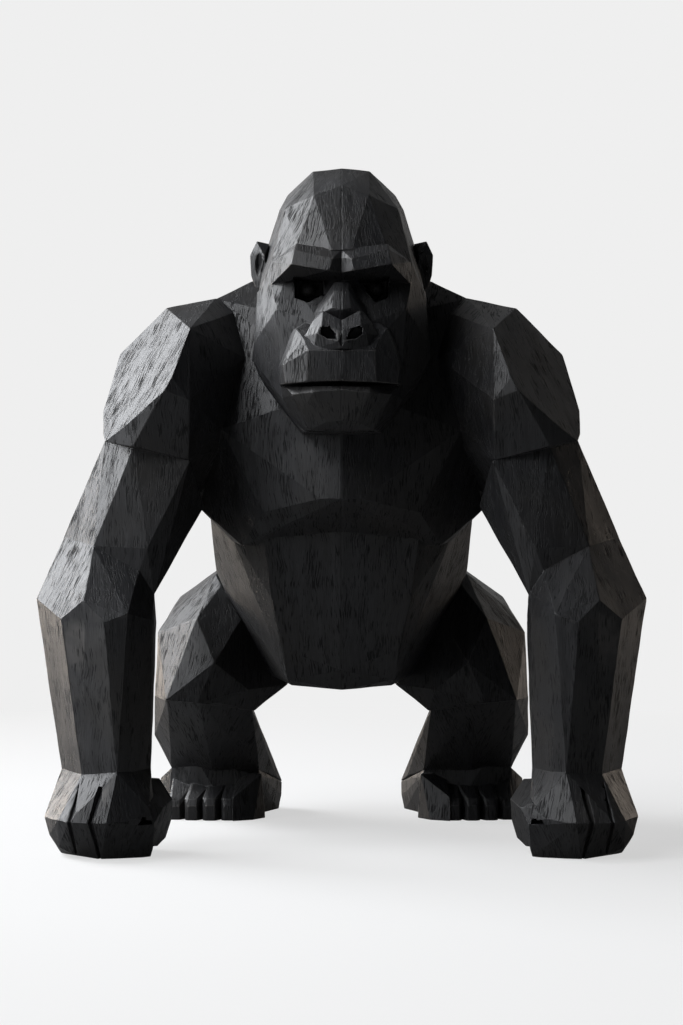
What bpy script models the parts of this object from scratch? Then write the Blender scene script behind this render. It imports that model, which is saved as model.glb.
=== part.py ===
"""A carved gorilla figurine: one block of wood cut in flat facets, standing on its fists and feet.

Units are metres, with +Z up, the face towards -Y and the animal's left side at +X. The carving is drawn
as blocks, such as the head, an elbow or a foot. Each facet corner is given as shares of its block's half
sizes (out, back, up), so the corners follow when a block is moved or resized. Masses that meet share the
corners of one block.
"""

import bmesh
import bpy
from mathutils import Vector

NAME = "gorilla_figurine"

# Head
HEAD_BACK = -0.050
HEAD_UP = 0.2445
HEAD_HALF_WIDTH = 0.040
HEAD_HALF_DEPTH = 0.062
HEAD_HALF_HEIGHT = 0.060
MUZZLE_HALF_WIDTH = 0.027
MUZZLE_HALF_DEPTH = 0.016
MUZZLE_HALF_HEIGHT = 0.029
MOUTH_GAP = 0.0011
NOSE_HALF_WIDTH = 0.016
NOSE_HALF_DEPTH = 0.012
NOSE_HALF_HEIGHT = 0.017
NOSTRIL_DEPTH = 0.012
EYE_RADIUS = 0.0038
EYE_SOCKET_DEPTH = 0.0185
EAR_HALF_WIDTH = 0.005
EAR_HALF_DEPTH = 0.009
EAR_HALF_HEIGHT = 0.012
EAR_HOLLOW_DEPTH = 0.003

# Trunk
CHEST_BACK = -0.010
CHEST_UP = 0.205
CHEST_HALF_WIDTH = 0.060
CHEST_HALF_DEPTH = 0.056
CHEST_HALF_HEIGHT = 0.050
BELLY_BACK = 0.010
BELLY_UP = 0.118
BELLY_HALF_WIDTH = 0.050
BELLY_HALF_DEPTH = 0.050
BELLY_HALF_HEIGHT = 0.050
RUMP_BACK = 0.065
RUMP_UP = 0.112
RUMP_HALF_WIDTH = 0.048
RUMP_HALF_DEPTH = 0.040
RUMP_HALF_HEIGHT = 0.046

# Arms, each part placed outward from the side of the chest
SHOULDER_PAST_CHEST = 0.020
SHOULDER_BACK = -0.045
SHOULDER_UP = 0.212
SHOULDER_HALF_WIDTH = 0.026
SHOULDER_HALF_DEPTH = 0.042
SHOULDER_HALF_HEIGHT = 0.034
ELBOW_PAST_CHEST = 0.049
ELBOW_BACK = -0.056
ELBOW_UP = 0.118
ELBOW_HALF_WIDTH = 0.026
ELBOW_HALF_DEPTH = 0.042
ELBOW_HALF_HEIGHT = 0.024
WRIST_PAST_CHEST = 0.043
WRIST_BACK = -0.066
WRIST_UP = 0.044
WRIST_HALF_WIDTH = 0.020
WRIST_HALF_DEPTH = 0.026
WRIST_HALF_HEIGHT = 0.010
FIST_PAST_CHEST = 0.0415
FIST_BACK = -0.074
FIST_HALF_WIDTH = 0.028
FIST_HALF_DEPTH = 0.028
FIST_HALF_HEIGHT = 0.018
FINGER_GROOVE_WIDTH = 0.0016
FINGER_GROOVE_DEPTH = 0.0016

# Legs
HIP_OUT = 0.058
HIP_BACK = 0.060
HIP_UP = 0.095
HIP_HALF_WIDTH = 0.032
HIP_HALF_DEPTH = 0.036
HIP_HALF_HEIGHT = 0.032
KNEE_OUT = 0.068
KNEE_BACK = 0.030
KNEE_UP = 0.072
KNEE_HALF_WIDTH = 0.022
KNEE_HALF_DEPTH = 0.026
KNEE_HALF_HEIGHT = 0.020
ANKLE_OUT = 0.060
ANKLE_BACK = 0.064
ANKLE_UP = 0.026
ANKLE_HALF_WIDTH = 0.022
ANKLE_HALF_DEPTH = 0.018
ANKLE_HALF_HEIGHT = 0.008
FOOT_OUT = 0.056
FOOT_BACK = 0.072
FOOT_HALF_WIDTH = 0.030
FOOT_HALF_DEPTH = 0.030
FOOT_HALF_HEIGHT = 0.012
TOE_GAP = 0.0012
TOE_TIP_CUT = 0.22

# How far the masses reach below the ground before the ground cuts them flat
SOLE_SPARE = 0.002

BLACK_STAIN = (0.012, 0.012, 0.013, 1.0)
BLACK_ROUGHNESS = 0.45


class Block:
    """One block of the carving: its middle, and its half width, half depth and half height."""

    def __init__(self, middle, half_width, half_depth, half_height):
        self.middle = Vector(middle)
        self.half = Vector((half_width, half_depth, half_height))

    def corner(self, out, back, up):
        """The point at these shares of the half sizes."""
        shares = (out, back, up)
        return Vector([self.middle[axis] + shares[axis] * self.half[axis] for axis in range(3)])

    def corners(self, *shares):
        return [self.corner(*share) for share in shares]


HEAD = Block((0, HEAD_BACK, HEAD_UP), HEAD_HALF_WIDTH, HEAD_HALF_DEPTH, HEAD_HALF_HEIGHT)
MUZZLE = Block(HEAD.corner(0, -0.77, -0.525), MUZZLE_HALF_WIDTH, MUZZLE_HALF_DEPTH, MUZZLE_HALF_HEIGHT)
NOSE = Block(MUZZLE.corner(0, -0.25, 0.62), NOSE_HALF_WIDTH, NOSE_HALF_DEPTH, NOSE_HALF_HEIGHT)
EAR = Block(HEAD.corner(0.92, 0.13, 0.26), EAR_HALF_WIDTH, EAR_HALF_DEPTH, EAR_HALF_HEIGHT)
CHEST = Block((0, CHEST_BACK, CHEST_UP), CHEST_HALF_WIDTH, CHEST_HALF_DEPTH, CHEST_HALF_HEIGHT)
BELLY = Block((0, BELLY_BACK, BELLY_UP), BELLY_HALF_WIDTH, BELLY_HALF_DEPTH, BELLY_HALF_HEIGHT)
RUMP = Block((0, RUMP_BACK, RUMP_UP), RUMP_HALF_WIDTH, RUMP_HALF_DEPTH, RUMP_HALF_HEIGHT)
SHOULDER = Block(
    (CHEST_HALF_WIDTH + SHOULDER_PAST_CHEST, SHOULDER_BACK, SHOULDER_UP),
    SHOULDER_HALF_WIDTH,
    SHOULDER_HALF_DEPTH,
    SHOULDER_HALF_HEIGHT,
)
ELBOW = Block(
    (CHEST_HALF_WIDTH + ELBOW_PAST_CHEST, ELBOW_BACK, ELBOW_UP),
    ELBOW_HALF_WIDTH,
    ELBOW_HALF_DEPTH,
    ELBOW_HALF_HEIGHT,
)
WRIST = Block(
    (CHEST_HALF_WIDTH + WRIST_PAST_CHEST, WRIST_BACK, WRIST_UP),
    WRIST_HALF_WIDTH,
    WRIST_HALF_DEPTH,
    WRIST_HALF_HEIGHT,
)
FIST = Block(
    (CHEST_HALF_WIDTH + FIST_PAST_CHEST, FIST_BACK, FIST_HALF_HEIGHT),
    FIST_HALF_WIDTH,
    FIST_HALF_DEPTH,
    FIST_HALF_HEIGHT,
)
HIP = Block((HIP_OUT, HIP_BACK, HIP_UP), HIP_HALF_WIDTH, HIP_HALF_DEPTH, HIP_HALF_HEIGHT)
KNEE = Block((KNEE_OUT, KNEE_BACK, KNEE_UP), KNEE_HALF_WIDTH, KNEE_HALF_DEPTH, KNEE_HALF_HEIGHT)
ANKLE = Block(
    (ANKLE_OUT, ANKLE_BACK, ANKLE_UP), ANKLE_HALF_WIDTH, ANKLE_HALF_DEPTH, ANKLE_HALF_HEIGHT
)
FOOT = Block(
    (FOOT_OUT, FOOT_BACK, FOOT_HALF_HEIGHT), FOOT_HALF_WIDTH, FOOT_HALF_DEPTH, FOOT_HALF_HEIGHT
)


def mirrored(corners):
    return [Vector((-corner.x, corner.y, corner.z)) for corner in corners]


def spanning(corners):
    """A middle mass: its corners on one side, and the same ones on the other."""
    return corners + mirrored(corners)


def cranium():
    return HEAD.corners(
        # Crown and its front edge
        (0, 0.08, 1.00), (0.32, 0.10, 0.98), (0.61, 0.32, 0.83), (0.71, 0.35, 0.72),
        (0, -0.26, 0.82), (0.30, -0.30, 0.75), (0.63, -0.10, 0.67),
        # Forehead down to the brow, and the temple
        (0.48, -0.52, 0.37), (0.11, -0.67, 0.31), (0, -0.67, 0.31), (0.77, -0.35, 0.25),
        (0.83, 0.39, 0.47), (0.76, -0.44, 0.08), (0.91, -0.24, 0.05), (0.93, -0.16, 0.01),
        # Back of the head
        (0, 0.58, 0.94), (0.33, 0.58, 0.89), (0.60, 0.61, 0.72), (0, 0.94, 0.62), (0.42, 0.90, 0.53),
        (0.80, 0.74, 0.29), (0, 1.00, 0.09), (0.50, 0.97, 0.03), (0.90, 0.65, -0.16),
        (0, 0.94, -0.33), (0.60, 0.87, -0.38),
    )


def brow():
    return HEAD.corners(
        (0, -0.65, 0.31), (0.11, -0.66, 0.31), (0.49, -0.60, 0.36), (0.51, -0.66, 0.31),
        (0.10, -0.74, 0.24), (0.54, -0.71, 0.20), (0.13, -0.77, 0.15), (0, -0.69, 0.25), (0, -0.71, 0.14),
        (0.76, -0.37, 0.25), (0.76, -0.44, 0.08), (0, -0.16, 0.29), (0, -0.48, 0.09), (0.65, -0.16, 0.09),
    )


def face():
    return HEAD.corners(
        # Under the brow, down the cheek and round the jaw
        (0, -0.50, 0.16), (0.60, -0.45, 0.17), (0.76, -0.44, 0.08), (0.93, -0.19, 0.05),
        (0.70, -0.58, -0.11), (0.78, -0.48, -0.11), (0.91, -0.24, 0.05), (0.48, -0.66, -0.27),
        (0.64, -0.57, -0.53), (0.96, -0.34, -0.34), (0.98, -0.31, -0.45), (0.64, -0.55, -0.76),
        (0.85, -0.38, -0.61), (0.58, -0.54, -0.85), (0.40, -0.62, -1.00), (0, -0.68, -0.99),
        (0.21, -0.72, -0.24), (0, -0.72, -0.28),
        # Back to the throat and the ears
        (0.98, 0, -0.33), (0.95, 0.32, -0.49), (0.80, 0.40, -0.74), (0.50, 0.16, -0.97),
        (0, 0.16, -1.01), (0.90, 0.32, 0.01),
    )


def muzzle():
    return MUZZLE.corners(
        # Broad front and its turned sides
        (0.52, -0.77, 0.19), (0.55, -0.78, -0.30), (0.92, -0.36, -0.01), (0.71, -0.05, 0.53),
        (0.88, -0.40, -0.30), (0, -0.86, -0.28), (0, -0.86, 0.19), (0.60, -0.46, 0.38),
        # Back to the cheeks
        (0.97, 0.10, -0.28), (0, 0.48, 0.66), (0.56, 0.48, 0.66), (0.80, 0.75, 0.55), (1.00, 0.86, 0.00),
        (0.96, 1.00, -0.31), (0, 1.11, -0.38),
    )


def jaw():
    return MUZZLE.corners(
        # Lower lip, which slopes down to its front edge
        (0.88, 0.00, -0.31), (0.45, -0.58, -0.29), (0, -0.62, -0.29), (0.96, 0.45, -0.30),
        (0.78, -0.32, -0.44), (0.45, -0.76, -0.42), (0, -0.82, -0.38),
        # Chin
        (0.61, -0.27, -0.67), (0.52, 0.04, -0.96),
        (0.24, -0.33, -0.84), (0, -0.39, -0.83), (0, -0.02, -0.97), (0.95, 0.58, -0.47),
        (0.86, 0.70, -0.68), (0.60, 0.73, -0.96), (0, 0.86, -0.97), (0.74, 1.11, -0.31), (0, 1.11, -0.29),
    )


def mouth_slit():
    """The gap between the lips, from corner to corner of the mouth."""
    middle = [MUZZLE.corner(0, -1.6, -0.27), MUZZLE.corner(0, -0.45, -0.27)]
    side = [MUZZLE.corner(0.94, -0.9, -0.31), MUZZLE.corner(0.92, 0.16, -0.31)]
    half_gap = Vector((0, 0, MOUTH_GAP / 2))
    return [point + half_gap for point in middle + side] + [point - half_gap for point in middle + side]


def nose_bridge():
    return NOSE.corners(
        (0.20, 0.56, 0.81), (0.18, 0.89, 1.06), (0.62, 0.42, 0.22), (0.26, 0.22, 0.38),
        (0, 0.14, 0.34), (0, 0.52, 0.81), (0, 0.81, 1.06), (0.88, 0.98, -0.53), (0.70, 1.14, 0.41),
        (0, 1.31, 1.12), (0, 0.60, -0.40),
    )


def nose_pad():
    """One side of the broad pad around the nostrils; both sides make its V-shaped top."""
    return NOSE.corners(
        (0.48, -0.19, 0.28), (0, -0.44, 0.03), (0.97, -0.11, -0.33), (0.74, -0.52, -0.72),
        (0.80, -0.19, -0.01), (0, -0.90, -0.69), (0.08, -0.98, -0.52), (0.53, -0.69, -0.13),
        (0.66, -0.69, -0.31), (0, -0.77, -0.24), (0, 0.56, -0.53), (0.88, 0.56, -0.53),
        (0.62, 0.56, 0.29), (0, 0.56, 0.06),
    )


def nostril():
    front = NOSE.corners(
        (0.60, -1.2, -0.14), (0.38, -1.2, -0.02), (0.10, -1.2, -0.34), (0.10, -1.2, -0.50), (0.36, -1.2, -0.49),
        (0.60, -1.2, -0.34),
    )
    middle = NOSE.corner(0.38, -1.2, -0.28)
    depth = Vector((0, NOSTRIL_DEPTH, 0))
    return front + [point.lerp(middle, 0.35) + depth for point in front]


def eye_socket():
    """The hollow under the brow that the eye lies in."""
    front = HEAD.corners(
        (0.53, -0.68, 0.13), (0.17, -0.68, 0.11), (0.17, -0.68, -0.02), (0.28, -0.68, -0.09), (0.52, -0.68, -0.03)
    )
    middle = HEAD.corner(0.36, -0.68, 0.04)
    depth = Vector((0, EYE_SOCKET_DEPTH, 0))
    return front + [point.lerp(middle, 0.2) + depth for point in front]


def lower_lid():
    """The ledge under the eye, down to the side of the nose."""
    return HEAD.corners(
        (0.50, -0.53, -0.04), (0.24, -0.66, -0.13), (0.51, -0.56, -0.08), (0.27, -0.68, -0.17),
        (0.50, -0.40, -0.04), (0.24, -0.48, -0.13), (0.40, -0.40, -0.20),
    )


def ear():
    return EAR.corners(
        (-0.82, 0.22, 0.91), (0.28, -0.30, 0.97), (0.88, -0.40, 0.43), (0.76, -0.40, -0.29),
        (0.46, -0.45, -0.72), (0.08, -0.65, -0.86), (-0.44, -0.95, 0.41), (-0.80, -0.89, -0.67),
        (-0.80, 1.56, 0.67), (0, 1.33, 0.33), (0, 1.22, -0.33), (-0.80, 1.33, -0.67),
    )


def ear_hollow():
    rim = EAR.corners(
        (0.00, -0.8, 0.78), (0.70, -0.8, 0.38), (0.60, -0.8, -0.28), (0.14, -0.8, -0.66), (-0.40, -0.8, 0.20)
    )
    middle = EAR.corner(0.10, -0.8, 0.00)
    depth = Vector((0, EAR_HOLLOW_DEPTH, 0))
    return rim + [point.lerp(middle, 0.85) + depth for point in rim] + [middle - depth]


def chest():
    return CHEST.corners(
        # Front, down the middle and out to the breast's lower edge
        (0, -0.82, 0.54), (0, -1.08, 0.00), (0, -1.14, -0.98), (0.15, -1.10, -0.98),
        (0.58, -0.84, -1.10), (0.89, -0.84, -0.36), (0.67, -0.72, 0.28), (1.08, -0.32, -1.06),
        # Undercut below the breast, and the tip of the side muscle
        (0.58, -0.61, -1.32), (0, -0.79, -1.10), (0.75, -0.50, -1.40), (0.83, -0.36, -1.36),
        # Back, from the loin up to the hump
        (1.03, 0.45, -0.90), (0.67, 0.86, -0.94), (0, 1.00, -0.94), (1.20, 0.09, 0.20),
        (0.87, 0.57, 0.54), (0.33, 0.71, 0.90), (0, 0.71, 0.96),
        # Ridge from the neck to the shoulder
        (0, 0.09, 1.12), (0.33, 0.04, 1.10), (0.69, -0.18, 1.02), (0.95, -0.43, 0.84),
    )


def breast_muscle():
    """The front of the shoulder, between the neck, the breast and the arm."""
    return SHOULDER.corners(
        (-0.89, 0.21, 1.03), (-0.54, -0.82, 0.53), (-0.27, -1.11, -0.11), (-0.15, -1.12, -0.28),
        (-0.56, -1.05, -0.40), (-0.51, -0.74, -1.15), (-0.19, 0.60, 0.53), (-0.38, 0.60, -0.94),
        (-0.58, 0.26, -1.59),
    ) + CHEST.corners((0.89, -0.86, -0.36), (0.72, -0.71, 0.28), (0.67, -0.18, 0.80), (0.67, -0.18, -0.40))


def back():
    return CHEST.corners(
        (0, 0.71, 0.96), (0.33, 0.71, 0.90), (0.87, 0.57, 0.54), (1.20, 0.18, 0.00), (1.00, 0.61, -0.80)
    ) + RUMP.corners(
        (0.96, -0.07, 0.83), (0.50, 0.33, 0.96), (0, 0.42, 1.00), (0.83, -0.38, 0.17), (0, -0.38, 0.17)
    )


def belly():
    return BELLY.corners(
        # Front panel and the underside
        (0.63, -0.92, -0.14), (0.52, -0.80, -0.61), (0.49, -0.70, -0.89), (0.46, -0.56, -0.95),
        (0, -0.82, -0.80), (0, -0.60, -0.99),
        # Flank
        (1.01, -0.52, 0.38), (1.00, -0.36, 0), (1.18, 0, 0.08), (0.52, 0.30, -0.80),
    ) + CHEST.corners(
        (0, -0.76, -1.04), (0.58, -0.60, -1.32), (0.84, -0.30, -1.30), (1.02, -0.10, -1.00), (0, 0.90, -0.80),
        (0.90, 0.60, -0.80),
    ) + RUMP.corners((0.85, 0, -0.85), (0, 0, -0.95), (0.90, 0, 0.60))


def rump():
    return RUMP.corners(
        (0, 0.97, 0.13), (0.46, 0.93, 0.04), (0, 0.82, -0.83), (0.50, 0.78, -0.83), (0.88, 0.47, -0.70),
        (0.92, 0.38, 0.35), (0.50, 0.57, 0.74), (0, 0.68, 0.78), (0, -0.62, 1.04), (1.00, -0.72, 0.91),
        (1.17, -0.62, 0.26), (1.04, -0.72, -0.78), (0, -0.72, -0.96),
    )


def shoulder():
    return SHOULDER.corners(
        # Peak, top facet and the broad outer facet
        (-0.89, 0.21, 1.03), (-0.07, -0.12, 0.86), (-0.54, -0.82, 0.53), (0.77, 0.18, 0.28),
        (0.99, -0.26, -0.49), (0.96, -0.55, -0.81), (0.90, -0.68, -0.91), (-0.27, -1.11, -0.11),
        (-0.15, -1.14, -0.28), (0.42, -0.92, -0.65),
        # Lower front
        (0.40, -0.90, -0.98), (-0.51, -0.74, -1.15), (-0.56, -1.05, -0.40),
        # Back
        (-0.77, 0.95, 0.82), (-0.08, 0.79, 0.71), (0.55, 0.74, 0.00), (0.85, 0.50, -0.65),
        (0.46, 0.88, -0.94), (-0.38, 1.07, -1.00), (-0.77, 0.60, -1.09),
    )


def upper_arm():
    return SHOULDER.corners(
        (0.96, -0.31, -0.89), (0.41, -0.74, -0.97), (-0.54, -0.74, -1.16), (0.85, 0.40, -0.71),
        (0.38, 0.83, -0.94), (-0.38, 0.93, -1.06),
    ) + ELBOW.corners(
        (-1.83, 0.10, 1.45), (0.58, 0.14, 0.87), (-0.03, -0.45, 0.72), (-0.95, -0.56, 0.68),
        (-0.80, -0.50, 0.28), (-1.04, -0.38, -0.16), (0.62, 0.62, 0.42), (-0.04, 1.00, 0.17),
        (-0.96, 0.86, 0),
    )


def forearm():
    return ELBOW.corners(
        # Round the elbow
        (0.58, 0.14, 0.87), (-0.03, -0.45, 0.72), (-0.80, -0.50, 0.28), (1.00, -0.10, -0.25),
        (0.47, -0.71, -0.59), (0.07, -0.88, -0.25), (-0.29, -0.98, -0.62), (-0.67, -0.93, -0.48),
        (-0.87, -0.64, -0.26), (-1.02, -0.57, -0.63), (-1.04, -0.38, -0.16), (0.65, 0.65, 0.42),
        (0.94, 0.50, -0.42), (-0.04, 1.02, 0.17), (0.12, 1.00, -0.58), (-0.88, 0.81, -0.08),
        (-0.96, 0.57, -0.75),
    ) + WRIST.corners(
        (1.06, 0.34, -0.80), (0.49, -0.61, -0.80), (-0.32, -0.96, -0.62), (-0.58, -0.72, -0.65),
        (-0.98, -0.23, -0.58), (0.80, 0.85, -0.60), (0.15, 1.00, -0.60), (-0.75, 0.77, -0.60),
    )


def fist():
    return WRIST.corners(
        (1.06, 0.34, -0.75), (0.49, -0.61, -0.75), (-0.32, -0.96, -0.58), (-0.58, -0.72, -0.60),
        (-0.98, -0.23, -0.55), (0.80, 0.85, -0.60), (0.15, 1.00, -0.60), (-0.75, 0.77, -0.60),
    ) + FIST.corners(
        # Knuckles
        (1.01, 0, -0.04), (0.73, -0.64, -0.01), (0.56, -0.82, -0.04), (-0.04, -0.93, -0.04),
        (-0.16, -0.86, -0.05), (-0.48, -0.66, 0.03), (-0.53, -0.36, 0.58), (-0.66, -0.50, 0.24),
        (-0.74, -0.47, -0.17), (-0.70, -0.20, -0.76), (-0.66, -0.16, -0.98),
        # Folded fingers down to the ground
        (0.92, -0.14, -0.46), (0.75, -0.29, -0.74), (0.55, -0.36, -0.86), (0.08, -0.36, -1.02),
        (-0.14, -0.29, -1.06), (-0.45, -0.21, -0.98), (-0.57, -0.18, -0.84),
        # Heel of the hand
        (0.80, 0.50, -1.06), (0.59, 0.86, -1.06), (-0.41, 0.79, -1.06), (-0.62, 0.14, -1.06),
        (0.95, 0.57, 0), (0.66, 1.00, 0), (-0.48, 0.93, 0), (-0.62, 0.43, -0.33),
    )


def thumb():
    return FIST.corners(
        (-0.98, 0.21, 0.34), (-0.86, -0.21, 0.21), (-0.63, -0.50, 0.31), (-0.76, 0.36, 0.81),
        (-0.45, -0.21, 0.88), (-0.94, 0.43, -0.21), (-0.86, 0.36, -0.64), (-0.74, 0.14, -0.80),
        (-0.67, -0.14, -0.75), (-0.72, -0.50, -0.17), (-0.59, -0.46, 0.44), (-0.48, 0.68, 0.78),
        (-0.77, 0.86, -0.33), (-0.34, 0.14, -0.56), (-0.23, 0.14, 0.89),
    )


def thumb_hollow():
    """The small hollow between the thumb and the folded first finger."""
    return FIST.corners(
        (-0.43, -1.00, -0.18), (-0.66, -1.00, 0.38), (-0.79, -1.00, -0.22),
        (-0.56, -0.22, -0.08), (-0.63, -0.22, 0.06), (-0.67, -0.22, -0.10),
    )


def groove(start, end, start_outward, end_outward):
    """A notch of triangular section that runs a little past both ends, open towards outward."""
    along = (end - start).normalized()
    spare = along * FINGER_GROOVE_DEPTH / 4
    corners = []
    for point, outward in ((start - spare, start_outward), (end + spare, end_outward)):
        side = along.cross(outward).normalized() * FINGER_GROOVE_WIDTH / 2
        deep = outward.normalized() * FINGER_GROOVE_DEPTH
        corners += [point - deep, point + deep + side * 2, point + deep - side * 2]
    return corners


def finger_grooves():
    """Notches between the folded fingers, over the knuckles and down their fronts."""
    above = Vector((0, -1, 0.8))
    ahead = Vector((0, -1, 0.15))
    below = Vector((0, -1, -0.5))
    grooves = []
    for top, knuckle, foot in (
        ((0.40, -0.37, 0.85), (0.54, -0.81, -0.03), (0.47, -0.34, -0.97)),
        ((0.03, -0.54, 0.97), (0.21, -0.86, -0.03), (0.11, -0.36, -1.02)),
    ):
        grooves.append(groove(FIST.corner(*top), FIST.corner(*knuckle), above, ahead))
        grooves.append(groove(FIST.corner(*knuckle), FIST.corner(*foot), ahead, below))
    return grooves


def thigh():
    return HIP.corners(
        # Top, outer side and the back
        (0.07, -0.80, 0.80), (-0.02, -1.05, 0.64), (-0.33, -1.25, 0.13), (0.74, -0.50, 0.23),
        (0.95, -0.67, -0.08), (0, 0.50, 0.91), (0.69, 0.39, 0.41), (0.94, 0.28, -0.34),
        (0.75, 0.50, -1.03), (-0.06, 1.00, 0.28), (-0.19, 0.94, -0.91), (-1.06, 0.78, -0.84),
        (-0.88, 0.56, 0.53),
    ) + KNEE.corners(
        (0.02, -0.73, 1.40), (0.66, -0.82, -0.51), (0.99, 0.23, -0.55), (-0.02, -0.92, -0.57),
        (-0.39, -1.08, 0.38), (-0.13, -0.92, 0.63), (-0.45, -0.74, -0.59), (-0.75, -0.76, 0.16),
        (-1.08, -0.60, -0.30), (-1.90, 0.08, -0.23), (-1.20, -0.19, -0.83),
    )


def shin():
    return KNEE.corners(
        (0.64, -0.80, -0.47), (1.00, 0.25, -0.53), (1.07, 1.00, -1.54), (-0.03, -0.88, -0.52),
        (-0.44, -0.71, -0.54), (-1.14, -0.15, -0.78), (-1.15, 0.77, -0.93), (0.55, 1.70, -0.70),
        (-0.91, 1.60, -0.70),
    ) + ANKLE.corners(
        (0.48, -0.67, 0.59), (1.07, -0.11, -0.21), (0.14, -0.50, -0.24), (-0.89, -0.11, -0.33),
        (-1.23, 1.11, -0.99), (-1.36, 1.89, -1.50), (0.80, 1.80, -0.60), (0, 2.10, -1.40),
    )


def foot():
    return ANKLE.corners(
        (0.48, -0.50, 0.30), (1.07, -0.11, -0.21), (0.14, -0.40, -0.30), (-0.89, -0.11, -0.33),
    ) + FOOT.corners(
        (0.92, -0.33, 0.95), (-0.86, 0.87, 0.13), (-0.85, 0.87, -0.42), (-0.80, 0.87, -1.08),
        (-0.33, -0.20, -1.08), (-0.10, -0.50, -1.08), (1.13, 0.07, 0.51), (1.20, 0.13, -1.08),
        (1.00, -0.20, -1.08), (1.00, 0.93, -1.08), (0.13, 1.20, -1.08), (0.93, 0.87, 0.17),
        (0.13, 1.13, 0.17), (-0.40, 1.07, 0.17), (-0.52, -0.40, 0.75),
    )


def big_toe():
    """The big toe: a wedge whose face looks forward and inward."""
    return FOOT.corners(
        (-0.57, -0.53, 0.83), (-0.10, -0.83, -0.08), (-0.10, -0.86, -1.08), (-0.42, -0.70, -1.08),
        (-0.62, -0.40, -1.08), (-0.50, 0.20, -1.08), (-0.16, -0.33, 0.85), (-0.45, 0.00, 0.80),
        (-0.08, -0.30, -1.08),
    )


# The small toes fan out from the instep. Each one: the two sides of its tip, the two sides of its root,
# how far forward the tip reaches, and its top, in shares of the foot's half sizes
SMALL_TOES = (
    (-0.16, 0.11, -0.34, 0.02, -0.83, -0.12),
    (0.11, 0.41, -0.10, 0.26, -0.85, -0.10),
    (0.41, 0.70, 0.12, 0.52, -0.81, -0.13),
    (0.70, 0.97, 0.36, 0.88, -0.72, -0.20),
)


def small_toe(inner, outer, root_inner, root_outer, tip, top):
    """One small toe: its top slopes up from the tip to the instep, and its tip has cut edges."""
    tip_corner = FOOT.corner(inner, tip, top)
    left = tip_corner.x + TOE_GAP / 2
    right = FOOT.corner(outer, 0, 0).x - TOE_GAP / 2
    cut = (right - left) * TOE_TIP_CUT
    low = FOOT.corner(0, 0, -1).z - SOLE_SPARE
    high = tip_corner.z
    front = tip_corner.y
    return [
        Vector((left + cut, front, high * 0.7)),
        Vector((right - cut, front, high * 0.7)),
        Vector((left + cut, front + cut, low)),
        Vector((right - cut, front + cut, low)),
        Vector((left + cut, front + cut, high)),
        Vector((right - cut, front + cut, high)),
        Vector((left, front + cut * 2, low)),
        Vector((right, front + cut * 2, low)),
        Vector((left, front + cut * 2, high)),
        Vector((right, front + cut * 2, high)),
    ] + FOOT.corners(
        (root_inner, -0.15, -1), (root_outer, -0.15, -1), (root_inner, -0.20, 0.90), (root_outer, -0.20, 0.90)
    )


def ground_cutter(corners):
    """A slab under the figurine, which cuts the fists and the feet flat."""
    reach = 2 * max(max(abs(corner.x), abs(corner.y)) for corner in corners)
    return [
        Vector((side * reach, end * reach, up))
        for side in (-1, 1)
        for end in (-1, 1)
        for up in (-reach, 0)
    ]


def hull_mesh(name, corners):
    """The smallest faceted solid around the corners."""
    form = bmesh.new()
    for corner in corners:
        form.verts.new(corner)
    hull = bmesh.ops.convex_hull(form, input=form.verts)
    left_over = hull["geom_interior"] + hull["geom_unused"]
    inside = {item for item in left_over if isinstance(item, bmesh.types.BMVert)}
    bmesh.ops.delete(form, geom=list(inside), context="VERTS")
    bmesh.ops.recalc_face_normals(form, faces=form.faces)
    mesh = bpy.data.meshes.new(name)
    form.to_mesh(mesh)
    form.free()
    return mesh


def eye_mesh(name, middle):
    form = bmesh.new()
    bmesh.ops.create_icosphere(form, subdivisions=2, radius=EYE_RADIUS)
    bmesh.ops.translate(form, verts=form.verts, vec=middle)
    mesh = bpy.data.meshes.new(name)
    form.to_mesh(mesh)
    form.free()
    return mesh


def add_helper(mesh, collection):
    helper = bpy.data.objects.new(mesh.name, mesh)
    helper.hide_render = True
    helper.display_type = "WIRE"
    collection.objects.link(helper)


def black_wood():
    material = bpy.data.materials.new("black_stained_wood")
    material.use_nodes = True
    shader = material.node_tree.nodes["Principled BSDF"]
    shader.inputs["Base Color"].default_value = BLACK_STAIN
    shader.inputs["Roughness"].default_value = BLACK_ROUGHNESS
    shader.inputs["Metallic"].default_value = 0.0
    return material


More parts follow.
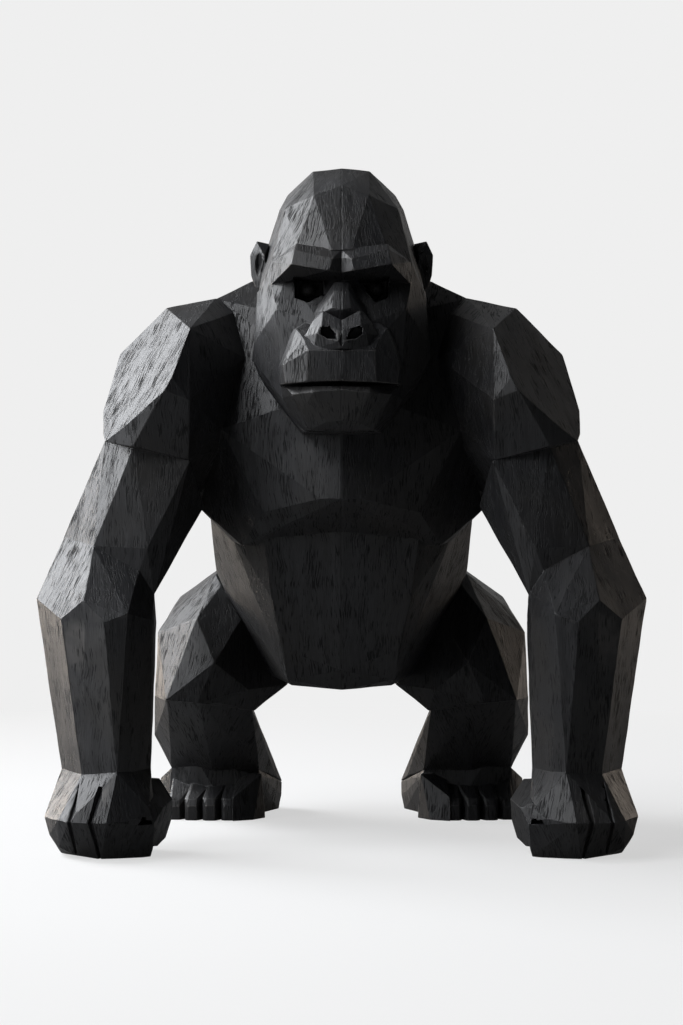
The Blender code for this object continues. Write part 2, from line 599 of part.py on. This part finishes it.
def build():
    for old in list(bpy.data.objects):
        bpy.data.objects.remove(old, do_unlink=True)

    middle_masses = {
        "cranium": cranium(),
        "face": face(),
        "muzzle": muzzle(),
        "jaw": jaw(),
        "nose_bridge": nose_bridge(),
        "back": back(),
        "belly": belly(),
        "rump": rump(),
    }
    side_masses = {
        "brow": brow(),
        "lower_lid": lower_lid(),
        "nose_pad": nose_pad(),
        "ear": ear(),
        "breast_muscle": breast_muscle(),
        "shoulder": shoulder(),
        "upper_arm": upper_arm(),
        "forearm": forearm(),
        "fist": fist(),
        "thumb": thumb(),
        "thigh": thigh(),
        "shin": shin(),
        "foot": foot(),
        "toe_1": big_toe(),
    }
    for number, share in enumerate(SMALL_TOES, start=2):
        side_masses[f"toe_{number}"] = small_toe(*share)
    side_cutters = {
        "eye_socket": eye_socket(),
        "nostril": nostril(),
        "ear_hollow": ear_hollow(),
        "thumb_hollow": thumb_hollow(),
    }
    for number, corners in enumerate(finger_grooves(), start=1):
        side_cutters[f"finger_groove_{number}"] = corners

    masses = {"trunk": spanning(chest())}
    for name, corners in middle_masses.items():
        masses[name] = spanning(corners)
    for name, corners in side_masses.items():
        masses[name + "_left"] = corners
        masses[name + "_right"] = mirrored(corners)
    cutters = {"mouth_slit": spanning(mouth_slit())}
    for name, corners in side_cutters.items():
        cutters[name + "_left"] = corners
        cutters[name + "_right"] = mirrored(corners)

    # The origin is under the middle of the whole figurine
    every_corner = [corner for corners in masses.values() for corner in corners]
    front = min(corner.y for corner in every_corner)
    rear = max(corner.y for corner in every_corner)
    shift = Vector((0, -(front + rear) / 2, 0))
    cutters["ground"] = ground_cutter(every_corner)

    mass_group = bpy.data.collections.new("masses")
    cutter_group = bpy.data.collections.new("cutters")
    eye_group = bpy.data.collections.new("eyes")
    for group in (mass_group, cutter_group, eye_group):
        bpy.context.scene.collection.children.link(group)

    figurine = None
    for name, corners in masses.items():
        placed = [corner + shift for corner in corners]
        if figurine is None:
            figurine = bpy.data.objects.new(NAME, hull_mesh(name, placed))
            bpy.context.scene.collection.objects.link(figurine)
        else:
            add_helper(hull_mesh(name, placed), mass_group)
    # Each eye sits in the back wall of its socket
    eye = HEAD.corner(0.37, -0.68, 0.045) + Vector((0, EYE_SOCKET_DEPTH - 0.7 * EYE_RADIUS, 0)) + shift
    for name, middle in (("eye_left", eye), ("eye_right", mirrored([eye])[0])):
        add_helper(eye_mesh(name, middle), eye_group)
    for name, corners in cutters.items():
        add_helper(hull_mesh(name, [corner + shift for corner in corners]), cutter_group)

    for name, operation, group in (
        ("join", "UNION", mass_group),
        ("cut", "DIFFERENCE", cutter_group),
        ("set_eyes", "UNION", eye_group),
    ):
        modifier = figurine.modifiers.new(name, "BOOLEAN")
        modifier.operation = operation
        modifier.operand_type = "COLLECTION"
        modifier.collection = group
        modifier.solver = "EXACT"
    figurine.data.materials.append(black_wood())


build()
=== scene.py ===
"""The looks of a carved gorilla figurine: black-stained open-grained wood with knife-cut facets.

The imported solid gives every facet. Here its edges are rounded and worn, its facets get the slight
unevenness of knife cuts, and the wood gets its grain, pores, stain and satin sheen.
"""

import math

import bmesh
import bpy
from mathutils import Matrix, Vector, noise


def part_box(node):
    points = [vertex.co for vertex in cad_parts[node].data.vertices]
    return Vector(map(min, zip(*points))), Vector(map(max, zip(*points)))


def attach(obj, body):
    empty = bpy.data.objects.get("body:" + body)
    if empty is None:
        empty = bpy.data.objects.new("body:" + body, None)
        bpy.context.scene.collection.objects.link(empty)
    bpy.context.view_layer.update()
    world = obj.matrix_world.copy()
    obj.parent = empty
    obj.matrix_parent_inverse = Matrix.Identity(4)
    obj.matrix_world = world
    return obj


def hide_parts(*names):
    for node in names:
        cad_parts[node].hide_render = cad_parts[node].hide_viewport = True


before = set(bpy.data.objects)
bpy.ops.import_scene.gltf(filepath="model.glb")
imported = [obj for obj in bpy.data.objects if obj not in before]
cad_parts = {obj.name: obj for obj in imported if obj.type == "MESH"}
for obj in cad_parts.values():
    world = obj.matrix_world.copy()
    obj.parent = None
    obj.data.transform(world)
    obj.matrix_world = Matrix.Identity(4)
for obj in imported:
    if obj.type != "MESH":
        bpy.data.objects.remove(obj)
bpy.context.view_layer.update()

NODE = "gorilla_figurine"

# Facets of the carving, in metres
SAME_POINT = 2e-6
FLAT_ANGLE = math.radians(3.5)
FACET_MESH = 0.0042
HALVINGS = 7

# Worn edges: their width and press, the limits for narrow facets, and the sharpness that shows wear
EDGE_WIDTH = 0.00045
EDGE_END = 0.0012
EDGE_PRESS = 0.55
NARROWINGS = 5
LEAST_TURN = 1e-3
LEAST_LEAN = 0.3
SHORTEST_SIDE = 0.04
WEAR_START = 0.12
WEAR_RISE = 2.6
AREA_WEIGHT = 80

# Knife cuts: a wave over the facets with a finer one on it, fading out just above the soles
CUT_WAVE = 0.016
CUT_DEPTH = 0.00028
WAVE_SEED = 5
FINE_SHARE = 0.4
FINE_RATE = 2.3
FINE_PLACE = Vector((7, 3, 5))
SOLE_HEIGHT = 0.001
SOLE_FADE = 0.004

# Grain: from which slope the fibres run backward, the step from facet to facet, and the scales
LEVEL_FACET = 0.93
FACET_STEP = 0.013
SWIRL_SCALE = 45.0
SWIRL_PUSH = (0.006, 0.0, 0.0)
SLIT_GRAIN = (1800.0, 140.0, 1000.0)
PATCH_GRAIN = (150.0, 40.0, 1000.0)
FIBRE_GRAIN = (2400.0, 110.0, 1000.0)
RING_GRAIN = (300.0, 10.0, 1000.0)
STAIN_SCALE = 22.0
WEAR_PATCHES = 60.0
SEAM_CORE = 0.0001
SEAM_EDGE = 0.0004
PATCH_SHARE = 0.5
FIBRE_SHARE = 1.2
STAIN_SHARE = 0.4
PORE_RANGE = (0.80, 0.89)
TONE_RANGE = (0.85, 1.35)
STAIN_RANGE = (0.45, 0.75)
WEAR_RANGE = (0.42, 0.62)

# Colours of the wood, and how strongly wear, pores and the seam show
DARK_WOOD = (0.007, 0.007, 0.008, 1.0)
LIGHT_WOOD = (0.026, 0.026, 0.028, 1.0)
BROWN_STAIN = (0.020, 0.018, 0.016, 1.0)
WORN_WOOD = (0.16, 0.15, 0.14, 1.0)
PORE_BLACK = (0.005, 0.005, 0.005, 1.0)
WORN_SHOWN = 0.6
PORE_SHOWN = 0.8
SEAM_SHOWN = 0.5

# Sheen and relief of the wood
GLOSS_RANGE = (0.4, 1.0, 0.40, 0.55)
PORE_DULLNESS = 0.5
FIBRE_HEIGHT = 0.35
SEAM_DEPTH = 0.9
RELIEF_STRENGTH = 0.55
RELIEF_DEPTH = 0.0003

# Studio
PALE = (0.863, 0.863, 0.863, 1.0)
FLOOR_TONE = (0.16, 0.16, 0.16, 1.0)
FLOOR_REACH = 9.0
FLOOR_EVENNESS = (0.25, 0.75, 0.70, 1.0)
FLOOR_IN_GLOSS = 0.08
BACKDROP_IN_GLOSS = (0.5, 1.0, 0.0, 0.6)
ROOM_COLOUR = (0.9, 0.95, 1.0, 1.0)
ROOM_LIGHT = 0.025
COOL = (0.95, 0.97, 1.0)
WARM = (1.0, 0.86, 0.72)
DEEP_WARM = (1.0, 0.82, 0.66)
CAMERA_LENS = 86.5
CAMERA_PLACE = (0.0, -1.1475, 0.150)


def faceted_source():
    """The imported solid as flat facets, with its triangles joined where they lie in one plane."""
    form = bmesh.new()
    form.from_mesh(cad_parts[NODE].data)
    bmesh.ops.remove_doubles(form, verts=form.verts, dist=SAME_POINT)
    bmesh.ops.dissolve_limit(
        form, angle_limit=FLAT_ANGLE, verts=form.verts, edges=form.edges, delimit=set()
    )
    bmesh.ops.recalc_face_normals(form, faces=form.faces)
    # A point near each end of an edge, so that each edge can be worn by its own sharpness
    for edge in list(form.edges):
        length = edge.calc_length()
        if length > 3 * EDGE_END:
            other, _ = bmesh.utils.edge_split(edge, edge.verts[0], EDGE_END / length)
            longer = edge if edge.calc_length() > other.calc_length() else other
            length = longer.calc_length()
            bmesh.utils.edge_split(longer, longer.verts[0], 1 - EDGE_END / length)
    form.normal_update()
    return form


def grain_frame(normal):
    """The directions across and along the grain on a facet: the wood's fibres run upward in the block."""
    fibre = Vector((0, 0, 1)) if abs(normal.z) < LEVEL_FACET else Vector((0, 1, 0))
    along = (fibre - normal * fibre.dot(normal)).normalized()
    return normal.cross(along), along


def inner_corners(face, width):
    """The facet's corners moved in from its edges by the width, or None where it is too narrow."""
    normal = face.normal
    points = [loop.vert.co for loop in face.loops]
    count = len(points)
    moved = []
    for index in range(count):
        before = points[index - 1]
        here = points[index]
        after = points[(index + 1) % count]
        arriving = (here - before).normalized()
        leaving = (after - here).normalized()
        in_before = normal.cross(arriving)
        in_after = normal.cross(leaving)
        middle = in_before + in_after
        if middle.length < LEAST_TURN:
            return None
        middle.normalize()
        lean = max(middle.dot(in_before), LEAST_LEAN)
        moved.append(here + middle * (width / lean))
    for index in range(count):
        old = points[(index + 1) % count] - points[index]
        new = moved[(index + 1) % count] - moved[index]
        if new.dot(old) <= SHORTEST_SIDE * old.length_squared:
            return None
    return moved


def shrunk(face):
    """The facet's corners moved in by the edge's width, or by less where the facet is narrow."""
    width = EDGE_WIDTH
    for _ in range(NARROWINGS):
        moved = inner_corners(face, width)
        if moved is not None:
            return moved
        width *= 0.5
    return None


def rounded(source):
    """A new mesh: each facet shrunk a little, strips to its old edges, and those edges pressed in."""
    form = bmesh.new()
    wear = form.verts.layers.float.new("wear")
    grain = form.loops.layers.float_vector.new("grain")
    ridge = [form.verts.new(vert.co) for vert in source.verts]
    near = [[] for _ in source.verts]
    source.verts.index_update()
    for number, face in enumerate(source.faces):
        corners = [loop.vert.index for loop in face.loops]
        across, along = grain_frame(face.normal)
        moved = shrunk(face)
        if moved is None:
            made = [form.faces.new([ridge[index] for index in corners])]
        else:
            inner = [form.verts.new(point) for point in moved]
            for index, vert in zip(corners, inner):
                near[index].append(vert)
            made = [form.faces.new(inner)]
            count = len(corners)
            for index in range(count):
                after = (index + 1) % count
                strip = (ridge[corners[index]], ridge[corners[after]], inner[after], inner[index])
                made.append(form.faces.new(strip))
        for part in made:
            part.smooth = True
            for loop in part.loops:
                point = loop.vert.co
                loop[grain] = (point.dot(across), point.dot(along), number * FACET_STEP)
    for vert, ring, old in zip(ridge, near, source.verts):
        if not ring:
            continue
        middle = sum((point.co for point in ring), Vector()) / len(ring)
        sharpness = (old.co - middle).dot(old.normal) / EDGE_WIDTH
        vert[wear] = max(0.0, min(1.0, (sharpness - WEAR_START) * WEAR_RISE))
        vert.co = old.co.lerp(middle, EDGE_PRESS)
    return form


def refined(form):
    """Facets cut into small triangles, so that they can be uneven."""
    bmesh.ops.triangulate(form, faces=form.faces, quad_method="BEAUTY", ngon_method="BEAUTY")
    for _ in range(HALVINGS):
        long_edges = [edge for edge in form.edges if edge.calc_length() > FACET_MESH]
        if not long_edges:
            break
        bmesh.ops.subdivide_edges(form, edges=long_edges, cuts=1)
        bmesh.ops.triangulate(form, faces=form.faces, quad_method="BEAUTY", ngon_method="BEAUTY")


def cut_by_knife(form, low, high):
    """Slight waves over the facets, as a knife leaves them; the soles stay flat."""
    noise.seed_set(WAVE_SEED)
    for vert in form.verts:
        place = vert.co / CUT_WAVE
        fine = noise.noise_vector(place * FINE_RATE + FINE_PLACE)
        push = noise.noise_vector(place) + FINE_SHARE * fine
        hold = min(1.0, max(0.0, (vert.co.z - SOLE_HEIGHT) / SOLE_FADE))
        vert.co += push * CUT_DEPTH * hold
        for axis in range(3):
            vert.co[axis] = min(max(vert.co[axis], low[axis]), high[axis])


def carving():
    """The whole figure as one mesh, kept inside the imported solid's box."""
    low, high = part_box(NODE)
    source = faceted_source()
    form = rounded(source)
    source.free()
    refined(form)
    cut_by_knife(form, low, high)
    bmesh.ops.recalc_face_normals(form, faces=form.faces)
    mesh = bpy.data.meshes.new("carving")
    form.to_mesh(mesh)
    form.free()
    piece = bpy.data.objects.new("gorilla_carving", mesh)
    bpy.context.scene.collection.objects.link(piece)
    weigh = piece.modifiers.new("facet_normals", "WEIGHTED_NORMAL")
    weigh.mode = "FACE_AREA"
    weigh.weight = AREA_WEIGHT
    weigh.keep_sharp = False
    return piece


class Nodes:
    """Short calls for building a node tree."""

    def __init__(self, owner):
        owner.use_nodes = True
        self.tree = owner.node_tree
        self.shader = self.tree.nodes.get("Principled BSDF")

    def add(self, kind, values=None, **settings):
        node = self.tree.nodes.new(kind)
        for name, value in settings.items():
            setattr(node, name, value)
        for name, value in (values or {}).items():
            if isinstance(value, bpy.types.NodeSocket):
                self.tree.links.new(value, node.inputs[name])
            else:
                node.inputs[name].default_value = value
        return node

    def math(self, operation, first, second=0.0, clamp=False):
        node = self.add("ShaderNodeMath", {0: first, 1: second}, operation=operation, use_clamp=clamp)
        return node.outputs[0]

    def mix(self, share, first, second):
        node = self.add("ShaderNodeMix", {0: share, 6: first, 7: second}, data_type="RGBA")
        return node.outputs[2]

    def spread(self, value, low, high, to_low=0.0, to_high=1.0):
        node = self.add(
            "ShaderNodeMapRange",
            {"Value": value, "From Min": low, "From Max": high, "To Min": to_low, "To Max": to_high},
        )
        return node.outputs["Result"]

    def noise(self, place, scale, detail=2.0, roughness=0.5):
        node = self.add(
            "ShaderNodeTexNoise",
            {"Vector": place, "Scale": scale, "Detail": detail, "Roughness": roughness},
        )
        return node.outputs["Fac"]

    def stretched(self, place, scale):
        node = self.add("ShaderNodeMapping", {"Vector": place, "Scale": scale})
        return node.outputs["Vector"]


def black_wood():
    """Black-stained wood: fibres and open pores along the grain, pale worn edges and a satin sheen."""
    material = bpy.data.materials.new("black_stained_wood_grain")
    n = Nodes(material)
    place = n.add("ShaderNodeTexCoord").outputs["Object"]
    grain = n.add("ShaderNodeAttribute", attribute_name="grain").outputs["Vector"]
    swirl = n.add("ShaderNodeTexNoise", {"Vector": place, "Scale": SWIRL_SCALE, "Detail": 1.0})
    wavy = n.add(
        "ShaderNodeVectorMath",
        {0: swirl.outputs["Color"], 1: SWIRL_PUSH, 2: grain},
        operation="MULTIPLY_ADD",
    ).outputs[0]

    # Pores: short dark slits along the grain
    slits = n.noise(n.stretched(wavy, SLIT_GRAIN), 1.0, 2.0, 0.6)
    patches = n.noise(n.stretched(wavy, PATCH_GRAIN), 1.0, 2.0)
    pore = n.spread(n.math("ADD", slits, n.math("MULTIPLY", patches, PATCH_SHARE)), *PORE_RANGE)
    # Fibres: finer, all over
    fibres = n.noise(n.stretched(wavy, FIBRE_GRAIN), 1.0, 2.0)
    rings = n.noise(n.stretched(wavy, RING_GRAIN), 1.0, 3.0)
    stain = n.noise(place, STAIN_SCALE, 3.0)

    # The centre seam, where the two halves of the block meet
    side = n.add("ShaderNodeSeparateXYZ", {0: place}).outputs[0]
    seam = n.spread(n.math("ABSOLUTE", side), SEAM_CORE, SEAM_EDGE, 1.0, 0.0)

    # Wear on the sharp edges, in patches
    wear = n.add("ShaderNodeAttribute", attribute_name="wear").outputs["Fac"]
    patchy = n.spread(n.noise(place, WEAR_PATCHES, 3.0), *WEAR_RANGE)
    worn = n.math("MULTIPLY", wear, patchy)

    tone = n.spread(n.math("ADD", rings, n.math("MULTIPLY", fibres, FIBRE_SHARE)), *TONE_RANGE)
    wood = n.mix(tone, DARK_WOOD, LIGHT_WOOD)
    wood = n.mix(n.spread(stain, *STAIN_RANGE), wood, BROWN_STAIN)
    wood = n.mix(n.math("MULTIPLY", worn, WORN_SHOWN), wood, WORN_WOOD)
    wood = n.mix(n.math("MULTIPLY", pore, PORE_SHOWN), wood, PORE_BLACK)
    wood = n.mix(n.math("MULTIPLY", seam, SEAM_SHOWN), wood, PORE_BLACK)
    n.tree.links.new(wood, n.shader.inputs["Base Color"])

    gloss = n.spread(n.math("ADD", fibres, n.math("MULTIPLY", stain, STAIN_SHARE)), *GLOSS_RANGE)
    gloss = n.math("ADD", gloss, n.math("MULTIPLY", pore, PORE_DULLNESS), clamp=True)
    n.tree.links.new(gloss, n.shader.inputs["Roughness"])
    n.shader.inputs["IOR"].default_value = 1.5
    n.shader.inputs["Metallic"].default_value = 0.0

    height = n.math("MULTIPLY", fibres, FIBRE_HEIGHT)
    height = n.math("SUBTRACT", height, pore)
    height = n.math("SUBTRACT", height, n.math("MULTIPLY", seam, SEAM_DEPTH))
    relief = {"Height": height, "Strength": RELIEF_STRENGTH, "Distance": RELIEF_DEPTH}
    bump = n.add("ShaderNodeBump", relief)
    n.tree.links.new(bump.outputs["Normal"], n.shader.inputs["Normal"])
    return material


def pale_stage():
    """A pale floor, lit and shadowed as it lies, and shown to the camera as evenly as the backdrop."""
    mesh = bpy.data.meshes.new("floor")
    corners = [(-1, -1), (1, -1), (1, 1), (-1, 1)]
    mesh.from_pydata([(x * FLOOR_REACH, y * FLOOR_REACH, 0) for x, y in corners], [], [(0, 1, 2, 3)])
    floor = bpy.data.objects.new("floor", mesh)
    bpy.context.scene.collection.objects.link(floor)
    material = bpy.data.materials.new("pale_floor")
    n = Nodes(material)
    n.shader.inputs["Base Color"].default_value = FLOOR_TONE
    n.shader.inputs["Roughness"].default_value = 0.9
    n.shader.inputs["Specular IOR Level"].default_value = 0.1
    even = n.add("ShaderNodeEmission", {"Color": PALE, "Strength": 1.0})
    lit = n.add("ShaderNodeBsdfDiffuse", {"Color": PALE})
    place = n.add("ShaderNodeTexCoord").outputs["Object"]
    away = n.add("ShaderNodeVectorMath", {0: place}, operation="LENGTH").outputs["Value"]
    shown = n.add(
        "ShaderNodeMixShader",
        {0: n.spread(away, *FLOOR_EVENNESS), 1: lit.outputs[0], 2: even.outputs[0]},
    )
    path = n.add("ShaderNodeLightPath")
    seen = n.math("MAXIMUM", path.outputs["Is Camera Ray"], path.outputs["Is Transmission Ray"])
    seen = n.math("MAXIMUM", seen, n.math("MULTIPLY", path.outputs["Is Glossy Ray"], FLOOR_IN_GLOSS))
    both = n.add("ShaderNodeMixShader", {0: seen, 1: n.shader.outputs[0], 2: shown.outputs[0]})
    n.tree.links.new(both.outputs[0], n.tree.nodes["Material Output"].inputs["Surface"])
    floor.data.materials.append(material)


def background():
    """A pale backdrop beyond the figure, and a dim room on the camera's side of it."""
    world = bpy.data.worlds.new("studio")
    bpy.context.scene.world = world
    n = Nodes(world)
    room = n.add("ShaderNodeBackground", {"Color": ROOM_COLOUR, "Strength": ROOM_LIGHT})
    backdrop = n.add("ShaderNodeBackground", {"Color": PALE, "Strength": 1.0})
    direction = n.add("ShaderNodeTexCoord").outputs["Generated"]
    beyond = n.add("ShaderNodeSeparateXYZ", {0: direction}).outputs[1]
    path = n.add("ShaderNodeLightPath")
    glossy = n.math("MULTIPLY", path.outputs["Is Glossy Ray"], n.spread(beyond, *BACKDROP_IN_GLOSS))
    seen = n.math("MAXIMUM", path.outputs["Is Camera Ray"], path.outputs["Is Transmission Ray"])
    seen = n.math("MAXIMUM", seen, glossy)
    both = n.add("ShaderNodeMixShader", {0: seen, 1: room.outputs[0], 2: backdrop.outputs[0]})
    n.tree.links.new(both.outputs[0], n.tree.nodes["World Output"].inputs["Surface"])


def soft_lamp(name, place, aim, power, width, height, colour):
    """A softbox of the given width and height, facing the point that it is aimed at."""
    lamp = bpy.data.lights.new(name, "AREA")
    lamp.shape = "RECTANGLE"
    lamp.energy = power
    lamp.size = width
    lamp.size_y = height
    lamp.color = colour
    holder = bpy.data.objects.new(name, lamp)
    bpy.context.scene.collection.objects.link(holder)
    holder.location = place
    holder.rotation_euler = (Vector(aim) - Vector(place)).to_track_quat("-Z", "Y").to_euler()


def photo_camera():
    """A level camera in front of the figure."""
    lens = bpy.data.cameras.new("camera")
    lens.lens = CAMERA_LENS
    lens.sensor_width = 36.0
    camera = bpy.data.objects.new("camera", lens)
    bpy.context.scene.collection.objects.link(camera)
    camera.location = CAMERA_PLACE
    camera.rotation_euler = (math.pi / 2, 0, 0)
    bpy.context.scene.camera = camera


photo_camera()
bpy.context.scene.view_settings.view_transform = "Standard"
background()
pale_stage()
soft_lamp("left_softbox", (-1.18, 0.58, 0.88), (0, 0, 0.16), 27, 0.8, 1.0, COOL)
soft_lamp("high_left", (-0.95, -0.15, 1.25), (0, 0, 0.17), 13, 0.6, 0.6, COOL)
soft_lamp("left_side", (-1.5, -0.60, 0.42), (0, -0.05, 0.18), 7, 0.4, 0.5, COOL)
soft_lamp("warm_left", (-1.0, 1.05, 0.14), (0, 0, 0.13), 5.5, 0.3, 0.3, WARM)
soft_lamp("warm_right", (1.0, 1.05, 0.22), (0, 0, 0.15), 1.3, 0.3, 0.5, DEEP_WARM)
soft_lamp("front_fill", (-0.85, -0.85, 1.05), (0, -0.05, 0.24), 8.5, 0.7, 0.7, COOL)

figure = carving()
figure.data.materials.append(black_wood())
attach(figure, "root")
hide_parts(NODE)
